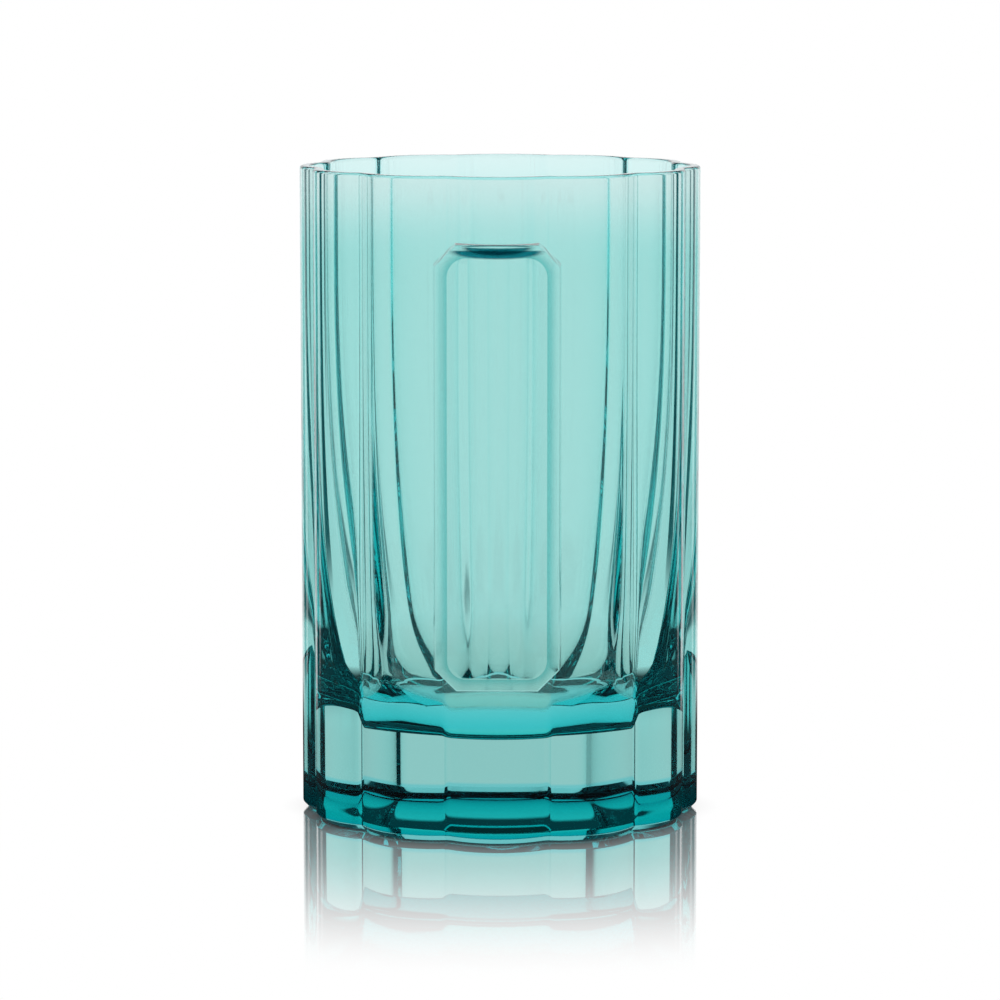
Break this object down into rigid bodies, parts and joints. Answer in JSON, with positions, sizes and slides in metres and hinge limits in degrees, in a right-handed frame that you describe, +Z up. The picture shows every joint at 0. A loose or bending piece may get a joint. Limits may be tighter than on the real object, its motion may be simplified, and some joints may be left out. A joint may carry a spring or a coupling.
{
  "type": "aperitif glass",
  "caption": "Straight fluted drinking tumbler of pressed teal glass with a heavy solid base, a tapering bore, a scalloped rim and a raised plain plaque on the front.",
  "frame": {"origin": "on the glass's axis, on the surface that the foot stands on", "axes": "+Z up along the axis from foot to rim, -Y out of the front plaque, +X to the right of someone facing the plaque"},
  "size_m": [0.065, 0.0664, 0.1055],
  "materials": {
    "wall_glass": "clear teal glass, fire-polished, gloss",
    "base_glass": "clear teal glass, thick, gloss",
    "plaque_glass": "clear teal glass, pressed flat face, gloss"
  },
  "bodies": {
    "root": {"fluted_wall": "wall_glass", "heavy_base": "base_glass", "front_plaque": "plaque_glass"}
  },
  "joints": []
}
